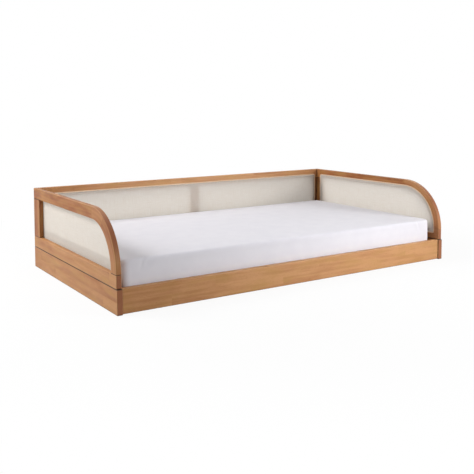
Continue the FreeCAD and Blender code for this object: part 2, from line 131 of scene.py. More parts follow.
def makeBeech(name, along, number, tone=0.0, staves=False, arch=None, joints=(), leftShade=0.0):
    # along: the grain's axis. arch: (y, z) of the centre that a bent piece's grain runs round.
    # joints: levels at which the piece meets the next one, where lines of painted shade are drawn. The last
    # argument adds painted shade towards the left end
    wood = oiledBeech
    finish, tree, shader = newFinish("honey_oiled_beech_" + name)
    coords = addNode(tree, "ShaderNodeTexCoord")
    place = addNode(tree, "ShaderNodeSeparateXYZ", {"Vector": coords.outputs["Object"]})
    facing = addNode(tree, "ShaderNodeVectorMath", {0: coords.outputs["Normal"]}, operation="ABSOLUTE")
    facing = addNode(tree, "ShaderNodeSeparateXYZ", {"Vector": facing.outputs[0]})
    if arch:
        # distance round the bend, distance from its centre, and depth through the piece
        dy = addNode(tree, "ShaderNodeMath", {0: arch[0], 1: place.outputs["Y"]}, operation="SUBTRACT")
        dz = addNode(tree, "ShaderNodeMath", {0: place.outputs["Z"], 1: arch[1]}, operation="SUBTRACT")
        angle = addNode(tree, "ShaderNodeMath", {0: dz.outputs[0], 1: dy.outputs[0]}, operation="ARCTAN2")
        run = addNode(tree, "ShaderNodeMath", {
            0: angle.outputs[0], 1: wood["bendRadius"]}, operation="MULTIPLY")
        flat = addNode(tree, "ShaderNodeCombineXYZ", {"X": dy.outputs[0], "Y": dz.outputs[0]})
        radius = addNode(tree, "ShaderNodeVectorMath", {0: flat.outputs[0]}, operation="LENGTH")
        grain = addNode(tree, "ShaderNodeCombineXYZ", {
            "X": run.outputs[0], "Y": radius.outputs["Value"], "Z": place.outputs["X"]})
        bendFacing = addNode(tree, "ShaderNodeCombineXYZ", {
            "X": facing.outputs["Y"], "Y": facing.outputs["Z"]})
        bendFacing = addNode(tree, "ShaderNodeVectorMath", {0: bendFacing.outputs[0]}, operation="LENGTH")
        squareOn = addNode(tree, "ShaderNodeMath", {
            0: facing.outputs["X"], 1: bendFacing.outputs["Value"]}, operation="MAXIMUM")
        # painted shade: its curved faces are darkened about half way round, in the end-grain colour
        archShadeSlope = addNode(tree, "ShaderNodeMath", {
            0: facing.outputs["Y"], 1: facing.outputs["Z"]}, operation="MULTIPLY")
        endGrainAndArchShade = addNode(tree, "ShaderNodeMapRange", {
            "Value": archShadeSlope.outputs[0], "From Min": 0.2, "From Max": 0.46})
    else:
        across, depth = {"X": ("Z", "Y"), "Y": ("Z", "X"), "Z": ("Y", "X")}[along]
        if name.startswith("back_guard") and along == "Z":
            across, depth = "X", "Y"
        grain = addNode(tree, "ShaderNodeCombineXYZ", {
            "X": place.outputs[along], "Y": place.outputs[across], "Z": place.outputs[depth]})
        squareOn = addNode(tree, "ShaderNodeMath", {
            0: facing.outputs["X"], 1: facing.outputs["Y"]}, operation="MAXIMUM")
        squareOn = addNode(tree, "ShaderNodeMath", {
            0: squareOn.outputs[0], 1: facing.outputs["Z"]}, operation="MAXIMUM")
        endGrainAndArchShade = addNode(tree, "ShaderNodeMapRange", {
            "Value": facing.outputs[along], "From Min": 0.75, "From Max": 0.97})

    # staves: a random value for each
    laid = addNode(tree, "ShaderNodeVectorMath", {
        0: grain.outputs[0], 1: (0.17 * number, 0.0005 if staves else 0.031, 0.0)}, operation="ADD")
    stave = addNode(tree, "ShaderNodeTexBrick", {
        "Vector": laid.outputs[0], "Color1": (0, 0, 0, 1), "Color2": (1, 1, 1, 1),
        "Mortar": (0.5, 0.5, 0.5, 1), "Scale": 1.0, "Mortar Size": 0.0, "Bias": 0.0,
        "Brick Width": wood["staveLength"], "Row Height": wood["staveHeight"] if staves else 4.0},
        offset=0.37, offset_frequency=2)
    jump = addNode(tree, "ShaderNodeVectorMath", {
        0: stave.outputs["Color"], 1: (0.9, 0.05, 0.04), 2: grain.outputs[0]}, operation="MULTIPLY_ADD")
    shifted = addNode(tree, "ShaderNodeVectorMath", {
        0: jump.outputs[0], 1: (1.37 * number, 0.013 * (number % 5), 0.019 * (number % 3))}, operation="ADD")

    # growth rings about a line beside the piece, drawn out along the grain
    ringPlace = addNode(tree, "ShaderNodeMapping", {
        "Vector": shifted.outputs[0], "Location": (0.0, 0.055 + 0.004 * number, 0.03),
        "Scale": (0.05, 1.0, 1.0)})
    rings = addNode(tree, "ShaderNodeTexWave", {
        "Vector": ringPlace.outputs[0], "Scale": waveWidth / wood["ringWidth"], "Distortion": 6.0,
        "Detail": 3.0, "Detail Scale": 0.7, "Detail Roughness": 0.55},
        wave_type="RINGS", rings_direction="X")
    streakPlace = addNode(tree, "ShaderNodeMapping", {
        "Vector": shifted.outputs[0],
        "Scale": (1 / wood["streakLength"], 1 / wood["streakWidth"], 1 / wood["streakWidth"])})
    streaks = addNode(tree, "ShaderNodeTexNoise", {
        "Vector": streakPlace.outputs[0], "Scale": 1.0, "Detail": 5.0, "Roughness": 0.6})
    # long lens-shaped patches, about 24 by 5 cm, that lie a little askew
    cloudPlace = addNode(tree, "ShaderNodeMapping", {
        "Vector": shifted.outputs[0], "Rotation": (0.0, 0.0, 0.09), "Scale": (4.2, 19.0, 19.0)})
    clouds = addNode(tree, "ShaderNodeTexNoise", {
        "Vector": cloudPlace.outputs[0], "Scale": 1.0, "Detail": 3.0, "Roughness": 0.55, "Distortion": 0.35})
    fleckPlace = addNode(tree, "ShaderNodeMapping", {
        "Vector": shifted.outputs[0],
        "Scale": (1 / wood["fleckLength"], 1 / wood["fleckWidth"], 1 / wood["fleckWidth"])})
    flecks = addNode(tree, "ShaderNodeTexNoise", {
        "Vector": fleckPlace.outputs[0], "Scale": 1.0, "Detail": 1.0})
    fleckMask = addNode(tree, "ShaderNodeMapRange", {
        "Value": flecks.outputs["Fac"], "From Min": 0.58, "From Max": 0.7})

    # one tone from all of these
    toneSum = addNode(tree, "ShaderNodeMath", {
        0: rings.outputs["Fac"], 1: wood["ringShare"], 2: tone + wood["baseTone"]}, operation="MULTIPLY_ADD")
    for figure, share in ((streaks.outputs["Fac"], "streakShare"), (clouds.outputs["Fac"], "patchShare"),
                          (stave.outputs["Color"], "staveShare")):
        toneSum = addNode(tree, "ShaderNodeMath", {
            0: figure, 1: wood[share], 2: toneSum.outputs[0]}, operation="MULTIPLY_ADD")
    # painted shade, darker towards the left end
    if leftShade:
        leftShadeRamp = addNode(tree, "ShaderNodeMapRange", {
            "Value": place.outputs["X"], "From Min": -1.0, "From Max": -0.3,
            "To Min": leftShade, "To Max": 0.0})
        toneSum = addNode(tree, "ShaderNodeMath", {
            0: toneSum.outputs[0], 1: leftShadeRamp.outputs[0]}, operation="ADD")
    toneRamp = addNode(tree, "ShaderNodeValToRGB", {"Fac": toneSum.outputs[0]})
    stops = toneRamp.color_ramp.elements
    stops[0].position, stops[0].color = 0.34, linear(wood["dark"])
    stops[1].position, stops[1].color = 0.8, linear(wood["pale"])
    for position, shade in ((0.08, "deepToneAndShade"), (0.57, "middle")):
        stops.new(position).color = linear(wood[shade])
    fleckShare = addNode(tree, "ShaderNodeMath", {
        0: fleckMask.outputs[0], 1: wood["fleckShare"]}, operation="MULTIPLY")
    flecked = addNode(tree, "ShaderNodeMix", {
        "Factor": fleckShare.outputs[0], 6: toneRamp.outputs["Color"], 7: linear(wood["dark"])},
        data_type="RGBA")

    # some patches lean to yellow
    castPlace = addNode(tree, "ShaderNodeMapping", {
        "Vector": shifted.outputs[0], "Location": (3.0, 1.0, 2.0), "Scale": (7.0, 24.0, 24.0)})
    cast = addNode(tree, "ShaderNodeTexNoise", {
        "Vector": castPlace.outputs[0], "Scale": 1.0, "Detail": 3.0})
    cast = addNode(tree, "ShaderNodeMapRange", {
        "Value": cast.outputs["Fac"], "From Min": 0.45, "From Max": 0.72, "To Max": wood["yellowShare"]})
    tinted = addNode(tree, "ShaderNodeMix", {
        "Factor": cast.outputs[0], 6: flecked.outputs[2], 7: linear(wood["yellow"])}, data_type="RGBA")

    # handled edges are rubbed paler, unevenly
    rubbed = addNode(tree, "ShaderNodeMapRange", {
        "Value": squareOn.outputs[0], "From Min": 0.985, "From Max": 0.8})
    rubbed = addNode(tree, "ShaderNodeMath", {
        0: rubbed.outputs[0], 1: clouds.outputs["Fac"]}, operation="MULTIPLY")
    edged = addNode(tree, "ShaderNodeMix", {
        "Factor": rubbed.outputs[0], 6: tinted.outputs[2], 7: linear(wood["rubbed"])}, data_type="RGBA")
    # end grain darker, and on the arches painted shade half way round the curved faces
    endAndShadeShare = addNode(tree, "ShaderNodeMath", {
        0: endGrainAndArchShade.outputs[0], 1: wood["endAndShadeShare"]}, operation="MULTIPLY")
    ended = addNode(tree, "ShaderNodeMix", {
        "Factor": endAndShadeShare.outputs[0], 6: edged.outputs[2], 7: linear(wood["endGrainAndShade"])}, data_type="RGBA")
    # painted shade: dark lines from ambient occlusion where pieces meet, but not where cloth covers the wood,
    # and at each joint level
    occlusion = addNode(tree, "ShaderNodeAmbientOcclusion", {"Distance": wood["jointReach"]}, samples=8)
    creviceShade = addNode(tree, "ShaderNodeMapRange", {
        "Value": occlusion.outputs["AO"], "From Min": 0.92, "From Max": 0.5, "To Max": wood["jointShare"]})
    bare = addNode(tree, "ShaderNodeMapRange", {
        "Value": occlusion.outputs["AO"], "From Min": 0.1, "From Max": 0.3})
    creviceShade = addNode(tree, "ShaderNodeMath", {
        0: creviceShade.outputs[0], 1: bare.outputs[0]}, operation="MULTIPLY")
    for level in joints:
        off = addNode(tree, "ShaderNodeMath", {0: place.outputs["Z"], 1: level}, operation="SUBTRACT")
        off = addNode(tree, "ShaderNodeMath", {0: off.outputs[0]}, operation="ABSOLUTE")
        line = addNode(tree, "ShaderNodeMapRange", {
            "Value": off.outputs[0], "From Min": wood["jointWidth"], "From Max": wood["jointWidth"] * 0.5,
            "To Max": wood["jointShare"]})
        creviceShade = addNode(tree, "ShaderNodeMath", {
            0: creviceShade.outputs[0], 1: line.outputs[0]}, operation="MAXIMUM")
    jointed = addNode(tree, "ShaderNodeMix", {
        "Factor": creviceShade.outputs[0], 6: ended.outputs[2], 7: linear(wood["joint"])}, data_type="RGBA")
    tree.links.new(jointed.outputs[2], shader.inputs["Base Color"])

    gloss = addNode(tree, "ShaderNodeMapRange", {
        "Value": streaks.outputs["Fac"], "From Min": 0.3, "From Max": 0.7,
        "To Min": wood["roughness"] - 0.06, "To Max": wood["roughness"] + 0.1})
    tree.links.new(gloss.outputs[0], shader.inputs["Roughness"])
    relief = addNode(tree, "ShaderNodeMath", {
        0: fleckMask.outputs[0], 1: -0.6, 2: streaks.outputs["Fac"]}, operation="MULTIPLY_ADD")
    bump = addNode(tree, "ShaderNodeBump", {
        "Height": relief.outputs[0], "Strength": 0.25, "Distance": wood["relief"]})
    tree.links.new(bump.outputs["Normal"], shader.inputs["Normal"])
    shader.inputs["Specular IOR Level"].default_value = wood["specular"]
    return finish


archRadius = 0.26
archCentre = {"y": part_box("left_guard_arch")[0].y + archRadius, "z": 0.17}

# grain axis, tone beside the others, and whether it is glued up from staves. The front rail's and centre
# post's tones hold painted light, and the two right back posts' tones hold painted shade
beechPieces = {
    "base_left_board": ("Y", 0.03, True),
    "base_right_board": ("Y", 0.02, True),
    # painted light: the front rail's tone is paler
    "base_front_rail": ("X", 0.22, True),
    "base_back_rail": ("X", -0.03, True),
    "left_guard_bottom_rail": ("Y", 0.08, False),
    "left_guard_back_post": ("Z", -0.2, False),
    "left_guard_top_rail": ("Y", -0.17, False),
    "left_guard_arch": ("arch", -0.05, False),
    "right_guard_bottom_rail": ("Y", 0.0, False),
    # painted shade: this corner post's tone is darker
    "right_guard_back_post": ("Z", -0.36, False),
    "right_guard_top_rail": ("Y", -0.16, False),
    "right_guard_arch": ("arch", -0.14, False),
    "back_guard_bottom_rail": ("X", 0.0, False),
    "back_guard_top_rail": ("X", 0.13, False),
    "back_guard_left_post": ("Z", 0.02, False),
    # painted light: the centre post's tone is paler, so it shows through the cloth
    "back_guard_centre_post": ("Z", 0.2, False),
    # painted shade: this corner post's tone is darker
    "back_guard_right_post": ("Z", -0.34, False),
}
# painted shade: darker towards the left end
leftShades = {"base_front_rail": -0.17, "back_guard_top_rail": -0.2}
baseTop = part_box("base_left_board")[1].z
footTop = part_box("left_guard_bottom_rail")[1].z
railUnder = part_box("back_guard_top_rail")[0].z
for number, (name, (along, tone, staves)) in enumerate(beechPieces.items()):
    centre = (archCentre["y"], archCentre["z"]) if along == "arch" else None
    joints = []
    if name.endswith(("board", "bottom_rail")):
        joints = [baseTop]
    elif name == "left_guard_arch":
        joints = [footTop]
    elif name.endswith("post"):
        joints = [footTop, railUnder]
    finish = makeBeech(name, along, number + 1, tone, staves, centre, joints, leftShades.get(name, 0.0))
    paint(nodes[name], finish)
print("oiled beech on", len(beechPieces), "pieces")


# Sawn and planed pine, unfinished: pale, with clear growth rings, a few small knots, matt
slatPine = {
    "pale": "#E4C79B",
    "late": "#C99A62",     # late wood of each ring
    "knot": "#8A5A35",
    "ringWidth": 0.009,
    "knotSpacing": 0.33,
    "roughness": 0.7,
}


def makePine(name, along, number):
    wood = slatPine
    finish, tree, shader = newFinish("planed_pine_" + name)
    coords = addNode(tree, "ShaderNodeTexCoord")
    place = addNode(tree, "ShaderNodeSeparateXYZ", {"Vector": coords.outputs["Object"]})
    across, depth = {"X": ("Y", "Z"), "Y": ("X", "Z"), "Z": ("X", "Y")}[along]
    grain = addNode(tree, "ShaderNodeCombineXYZ", {
        "X": place.outputs[along], "Y": place.outputs[across], "Z": place.outputs[depth]})
    shifted = addNode(tree, "ShaderNodeVectorMath", {
        0: grain.outputs[0], 1: (0.83 * number, 0.011 * (number % 7), 0.0)}, operation="ADD")
    knotPlace = addNode(tree, "ShaderNodeMapping", {
        "Vector": shifted.outputs[0], "Scale": (1 / wood["knotSpacing"], 5.0, 5.0)})
    knots = addNode(tree, "ShaderNodeTexVoronoi", {"Vector": knotPlace.outputs[0], "Scale": 1.0})
    knotMask = addNode(tree, "ShaderNodeMapRange", {
        "Value": knots.outputs["Distance"], "From Min": 0.09, "From Max": 0.03})
    ringPlace = addNode(tree, "ShaderNodeMapping", {
        "Vector": shifted.outputs[0], "Location": (0.0, 0.02, 0.05), "Scale": (0.06, 1.0, 1.0)})
    rings = addNode(tree, "ShaderNodeTexWave", {
        "Vector": ringPlace.outputs[0], "Scale": waveWidth / wood["ringWidth"], "Distortion": 5.0,
        "Detail": 2.0, "Detail Scale": 0.8}, wave_type="RINGS", rings_direction="X", wave_profile="SAW")
    toneRamp = addNode(tree, "ShaderNodeValToRGB", {"Fac": rings.outputs["Fac"]})
    stops = toneRamp.color_ramp.elements
    stops[0].position, stops[0].color = 0.35, linear(wood["pale"])
    stops[1].position, stops[1].color = 1.0, linear(wood["late"])
    knotted = addNode(tree, "ShaderNodeMix", {
        "Factor": knotMask.outputs[0], 6: toneRamp.outputs["Color"], 7: linear(wood["knot"])},
        data_type="RGBA")
    tree.links.new(knotted.outputs[2], shader.inputs["Base Color"])
    gloss = addNode(tree, "ShaderNodeMapRange", {
        "Value": rings.outputs["Fac"],
        "To Min": wood["roughness"] + 0.06, "To Max": wood["roughness"] - 0.08})
    tree.links.new(gloss.outputs[0], shader.inputs["Roughness"])
    bump = addNode(tree, "ShaderNodeBump", {
        "Height": rings.outputs["Fac"], "Strength": 0.3, "Distance": 0.0005})
    tree.links.new(bump.outputs["Normal"], shader.inputs["Normal"])
    return finish


pinePieces = [("front_slat_ledger", "X"), ("back_slat_ledger", "X")]
pinePieces += [("base_dowels", "X"), ("guard_dowels", "Z")]
pinePieces += [(name, "Y") for name in sorted(nodes) if name.startswith("slat_") and name != "slat_screws"]
for number, (name, along) in enumerate(pinePieces):
    paint(nodes[name], makePine(name, along, number + 1))
print("planed pine on", len(pinePieces), "pieces")


# Zinc-plated steel, turned and stamped: pale grey with a bluish cast, fine scratches
zincSteel = {
    "bright": "#C9CCD2",
    "dull": "#9EA2AA",
    "roughness": 0.34,
    "scratchWidth": 0.0008,
    "scratchLength": 0.025,
}


def makeZinc():
    finish, tree, shader = newFinish("zinc_plated_steel")
    coords = addNode(tree, "ShaderNodeTexCoord")
    cloudy = addNode(tree, "ShaderNodeTexNoise", {
        "Vector": coords.outputs["Object"], "Scale": 260.0, "Detail": 3.0})
    across = 1 / zincSteel["scratchWidth"]
    scratchPlace = addNode(tree, "ShaderNodeMapping", {
        "Vector": coords.outputs["Object"], "Scale": (1 / zincSteel["scratchLength"], across, across)})
    scratches = addNode(tree, "ShaderNodeTexNoise", {
        "Vector": scratchPlace.outputs[0], "Scale": 1.0, "Detail": 2.0})
    colour = addNode(tree, "ShaderNodeMix", {
        "Factor": cloudy.outputs["Fac"], 6: linear(zincSteel["dull"]), 7: linear(zincSteel["bright"])},
        data_type="RGBA")
    tree.links.new(colour.outputs[2], shader.inputs["Base Color"])
    gloss = addNode(tree, "ShaderNodeMapRange", {
        "Value": scratches.outputs["Fac"], "From Min": 0.3, "From Max": 0.7,
        "To Min": zincSteel["roughness"] - 0.08, "To Max": zincSteel["roughness"] + 0.14})
    tree.links.new(gloss.outputs[0], shader.inputs["Roughness"])
    bump = addNode(tree, "ShaderNodeBump", {
        "Height": scratches.outputs["Fac"], "Strength": 0.1, "Distance": 0.0002})
    tree.links.new(bump.outputs["Normal"], shader.inputs["Normal"])
    shader.inputs["Metallic"].default_value = 1.0
    return finish


zincFinish = makeZinc()
for name in ("cam_drums", "cam_bolts", "ledger_screws", "slat_screws"):
    paint(nodes[name], zincFinish)
print("zinc on the fixings")


# Twisted paper cord, pressed into the groove: pale, with the fine slant of its twist, matt
splineCord = {"pale": "#EBD0B2", "shade": "#D0A884", "twist": 0.004, "roughness": 0.85}


def makeCordFinish():
    finish, tree, shader = newFinish("twisted_paper_cord")
    coords = addNode(tree, "ShaderNodeTexCoord")
    slant = addNode(tree, "ShaderNodeMapping", {
        "Vector": coords.outputs["Object"], "Rotation": (0.6, 0.5, 0.6)})
    twist = addNode(tree, "ShaderNodeTexWave", {
        "Vector": slant.outputs[0], "Scale": waveWidth / splineCord["twist"], "Distortion": 0.6,
        "Detail": 1.0}, wave_type="BANDS", bands_direction="DIAGONAL")
    fibre = addNode(tree, "ShaderNodeTexNoise", {
        "Vector": coords.outputs["Object"], "Scale": 320.0, "Detail": 3.0})
    worn = addNode(tree, "ShaderNodeMath", {
        0: twist.outputs["Fac"], 1: 0.55, 2: fibre.outputs["Fac"]}, operation="MULTIPLY_ADD")
    colour = addNode(tree, "ShaderNodeMix", {
        "Factor": worn.outputs[0], 6: linear(splineCord["shade"]), 7: linear(splineCord["pale"])},
        data_type="RGBA")
    tree.links.new(colour.outputs[2], shader.inputs["Base Color"])
    bump = addNode(tree, "ShaderNodeBump", {"Height": worn.outputs[0], "Strength": 0.5, "Distance": 0.0006})
    tree.links.new(bump.outputs["Normal"], shader.inputs["Normal"])
    shader.inputs["Roughness"].default_value = splineCord["roughness"]
    return finish


cordFinish = makeCordFinish()
for name in ("left_guard_screen_spline", "right_guard_screen_spline", "back_guard_screen_spline"):
    paint(nodes[name], cordFinish)


# Undyed cotton scrim, open plain weave: cream, soft, lets a little of what is behind it through,
# with thicker slubs here and there along both threads
scrim = {
    "cream": "#E3DDD4",
    "shade": "#D9D0C4",
    "thread": 0.0026,      # real threads are 1 mm apart, drawn coarser to show
    "slubLength": 0.07,
    "slubWidth": 0.0035,
    "cover": 0.94,         # share that the cloth hides
    "soak": 0.28,          # share of the light that goes through the threads
    "roughness": 0.92,
    "sheen": 0.12,
    "thickness": 0.0006,
    "tuck": 0.0026,        # how far the rim turns down into the groove
    "wood": 0.034,         # how far in from the rim there is wood behind
    "slack": 0.0011,       # how far the middle gives
    "ease": 0.05,          # over which the slack sets in
    "ripple": 0.0004,
    "lift": 0.0008,        # off the wood
}


def makeScrimFinish():
    finish, tree, shader = newFinish("cotton_scrim")
    coords = addNode(tree, "ShaderNodeTexCoord")
    warpAndWeft, slubs = [], []
    along, across = 1 / scrim["slubLength"], 1 / scrim["slubWidth"]
    for direction, scale in (("X", (along, across, 1)), ("Y", (across, along, 1))):
        warpAndWeft.append(addNode(tree, "ShaderNodeTexWave", {
            "Vector": coords.outputs["UV"], "Scale": waveWidth / scrim["thread"], "Distortion": 0.4,
            "Detail Scale": 0.3}, wave_type="BANDS", bands_direction=direction).outputs["Fac"])
        slubPlace = addNode(tree, "ShaderNodeMapping", {"Vector": coords.outputs["UV"], "Scale": scale})
        slubs.append(addNode(tree, "ShaderNodeTexNoise", {
            "Vector": slubPlace.outputs[0], "Scale": 1.0, "Detail": 2.0}).outputs["Fac"])
    threads = addNode(tree, "ShaderNodeMath", {0: warpAndWeft[0], 1: warpAndWeft[1]}, operation="MAXIMUM")
    slub = addNode(tree, "ShaderNodeMath", {0: slubs[0], 1: slubs[1]}, operation="MAXIMUM")
    tone = addNode(tree, "ShaderNodeMapRange", {"Value": slub.outputs[0], "From Min": 0.4, "From Max": 0.75})
    colour = addNode(tree, "ShaderNodeMix", {
        "Factor": tone.outputs[0], 6: linear(scrim["cream"]), 7: linear(scrim["shade"])}, data_type="RGBA")
    tree.links.new(colour.outputs[2], shader.inputs["Base Color"])
    cover = addNode(tree, "ShaderNodeMapRange", {
        "Value": threads.outputs[0], "From Min": 0.2, "From Max": 1.0,
        "To Min": scrim["cover"] - 0.08, "To Max": scrim["cover"] + 0.04})
    cover = addNode(tree, "ShaderNodeMath", {
        0: tone.outputs[0], 1: 0.03, 2: cover.outputs[0]}, operation="MULTIPLY_ADD")
    bump = addNode(tree, "ShaderNodeBump", {
        "Height": threads.outputs[0], "Strength": 0.35, "Distance": 0.0005})
    tree.links.new(bump.outputs["Normal"], shader.inputs["Normal"])
    shader.inputs["Roughness"].default_value = scrim["roughness"]
    shader.inputs["Sheen Weight"].default_value = scrim["sheen"]
    # light also soaks through the threads, and passes between them
    soaked = addNode(tree, "ShaderNodeBsdfTranslucent", {"Color": colour.outputs[2]})
    threadsLit = addNode(tree, "ShaderNodeMixShader", {
        0: scrim["soak"], 1: shader.outputs[0], 2: soaked.outputs[0]})
    holes = addNode(tree, "ShaderNodeBsdfTransparent")
    cloth = addNode(tree, "ShaderNodeMixShader", {
        0: cover.outputs[0], 1: holes.outputs[0], 2: threadsLit.outputs[0]})
    # the cloth counts once, where light goes in, and is clear where it comes out
    leaving = addNode(tree, "ShaderNodeNewGeometry")
    cloth = addNode(tree, "ShaderNodeMixShader", {
        0: leaving.outputs["Backfacing"], 1: cloth.outputs[0], 2: holes.outputs[0]})
    output = [node for node in tree.nodes if node.type == "OUTPUT_MATERIAL"][0]
    tree.links.new(cloth.outputs[0], output.inputs["Surface"])
    return finish


scrimFinish = makeScrimFinish()


def makeScreen(name, node, inward, arched):
    # a stretched cloth over the frame's inner face, its rim turned down into the groove.
    # inward points from the frame into the bed
    low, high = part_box(node)
    inward = Vector(inward)
    alongY = abs(inward.x) > 0.5
    start, end = (low.y, high.y) if alongY else (low.x, high.x)
    face = (low.x if inward.x > 0 else high.x) if alongY else high.y
    columns, rows = (72, 40) if alongY else (140, 24)
    bays = 1 if alongY else 2    # the back screen is backed by a centre post
    bm = bmesh.new()
    bmesh.ops.create_grid(bm, x_segments=columns, y_segments=rows, size=0.5)
    uv = bm.loops.layers.uv.new("weave")
    bend = high.z - archCentre["z"]
    straight = 0.1    # share of the rows below the bend
    for vert in bm.verts:
        across, up = vert.co.x + 0.5, vert.co.y + 0.5
        first = start
        if arched:
            # rows a step of angle apart round the bend, and the front edge follows it
            if up > straight:
                turn = (up - straight) / (1 - straight) * math.pi / 2
                z = archCentre["z"] + bend * math.sin(turn)
                first = start + bend * (1 - math.cos(turn))
            else:
                z = low.z + (archCentre["z"] - low.z) * up / straight
        else:
            z = low.z + (high.z - low.z) * up
        run = first + (end - first) * across
        # tight over the wood behind it, and slack only clear of that
        clear = min((across * bays) % 1.0, 1 - (across * bays) % 1.0) * (end - first) / bays
        clear = min(clear, z - low.z, high.z - z)
        if arched and run < start + bend and z > archCentre["z"]:
            clear = min(clear, bend - math.hypot(run - start - bend, z - archCentre["z"]))
        loose = min(max((clear - scrim["wood"]) / scrim["ease"], 0.0), 1.0)
        loose = loose * loose * (3 - 2 * loose)
        ripple = noise.noise(Vector((run * 3.1, z * 9.0, 4.0 + face))) * scrim["ripple"]
        out = scrim["lift"] + (ripple - scrim["slack"]) * loose
        if alongY:
            vert.co = Vector((face + inward.x * out, run, z))
        else:
            vert.co = Vector((run, face + inward.y * out, z))
    rim = [edge for edge in bm.edges if edge.is_boundary]
    turned = bmesh.ops.extrude_edge_only(bm, edges=rim)["geom"]
    turned = [g for g in turned if isinstance(g, bmesh.types.BMVert)]
    bmesh.ops.translate(bm, verts=turned, vec=-inward * scrim["tuck"])
    for loopFace in bm.faces:
        for loop in loopFace.loops:
            loop[uv].uv = (loop.vert.co.y if alongY else loop.vert.co.x, loop.vert.co.z)
    bmesh.ops.recalc_face_normals(bm, faces=bm.faces)
    if sum(f.normal.dot(inward) * f.calc_area() for f in bm.faces) < 0:
        bmesh.ops.reverse_faces(bm, faces=bm.faces)
    screen = addPiece(name, bm)
    body = screen.modifiers.new("cloth thickness", "SOLIDIFY")
    body.thickness, body.offset = scrim["thickness"], 0.0
    paint(screen, scrimFinish)
    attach(screen, "bed_frame")
    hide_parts(node)


makeScreen("left_screen_cloth", "left_guard_screen", (1, 0, 0), True)
makeScreen("right_screen_cloth", "right_guard_screen", (-1, 0, 0), True)
makeScreen("back_screen_cloth", "back_guard_screen", (0, -1, 0), False)
print("three screens stretched")


# Mattress: foam in knitted ticking, blown out a little against its cover
mattress = {
    "voxel": 0.0105,
    "shrink": 0.0035,      # smaller before it is blown out
    "cap": 0.005,          # furthest that a point may move
    "pressure": 4.0,
    "steps": 20,           # of the simulation
    "stretch": 25,         # stiffness of the ticking
    "bend": 4,
    "mass": 0.3,           # kilograms at each point
    "fill": 0.9,
}


def copyNode(node, name):  # a merged copy of a CAD piece's mesh
    bm = bmesh.new()
    bm.from_mesh(nodes[node].data)
    bmesh.ops.remove_doubles(bm, verts=bm.verts, dist=0.00005)
    return addPiece(name, bm)


def bake(piece):  # what the modifiers make becomes the mesh
    shown = piece.evaluated_get(bpy.context.evaluated_depsgraph_get())
    mesh = bpy.data.meshes.new_from_object(shown)
    piece.modifiers.clear()
    old = piece.data
    piece.data = mesh
    bpy.data.meshes.remove(old)


def makeMattress():
    low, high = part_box("mattress_core")
    middle = (low + high) / 2
    pad = copyNode("mattress_core", "mattress_pad")
    share = [1 - 2 * mattress["shrink"] / (high[i] - low[i]) for i in range(3)]
    for vert in pad.data.vertices:
        vert.co = Vector([middle[i] + (vert.co[i] - middle[i]) * share[i] for i in range(3)])
    remesh = pad.modifiers.new("even mesh", "REMESH")
    remesh.mode, remesh.voxel_size, remesh.use_smooth_shade = "VOXEL", mattress["voxel"], True
    bake(pad)
    start = [v.co.copy() for v in pad.data.vertices]
    cloth = pad.modifiers.new("ticking", "CLOTH")
    settings = cloth.settings
    settings.quality = 4
    settings.mass = mattress["mass"]
    settings.tension_stiffness = settings.compression_stiffness = mattress["stretch"]
    settings.bending_stiffness = mattress["bend"]
    settings.use_pressure = True
    settings.uniform_pressure_force = mattress["pressure"]
    settings.effector_weights.gravity = 0
    cloth.collision_settings.use_collision = False
    cloth.point_cache.frame_start, cloth.point_cache.frame_end = 1, mattress["steps"]
    for step in range(1, mattress["steps"] + 1):
        scene.frame_set(step)
    bake(pad)
    scene.frame_set(1)
    for vert, before in zip(pad.data.vertices, start):
        move = vert.co - before
        if move.length > mattress["cap"]:
            vert.co = before + move * (mattress["cap"] / move.length)
    bm = bmesh.new()
    bm.from_mesh(pad.data)
    bmesh.ops.smooth_vert(bm, verts=bm.verts, factor=0.5,
                          use_axis_x=True, use_axis_y=True, use_axis_z=True)
    for vert in bm.verts:
        # it lies flat on the slats, and stays inside its sheet
        vert.co.z = max(vert.co.z, low.z)
        vert.co.x = min(max(vert.co.x, low.x), high.x)
        vert.co.y = min(max(vert.co.y, low.y), high.y)
        if vert.normal.z < -0.85 and vert.co.z < low.z + 0.006:
            vert.co.z = low.z
    bm.to_mesh(pad.data)
    bm.free()
    pad.data.shade_smooth()
    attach(pad, "mattress")
    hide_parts("mattress_core")
    return pad


# Knitted polyester ticking, quilted: off-white, soft, with sewn diamonds
ticking = {
    "white": "#E9E6DF",
    "shade": "#CFC9BE",
    "diamond": 0.09,
    "knit": 0.003,         # real loops are about 1 mm, drawn coarser to show
    "roughness": 0.9,
    "sheen": 0.2,
}


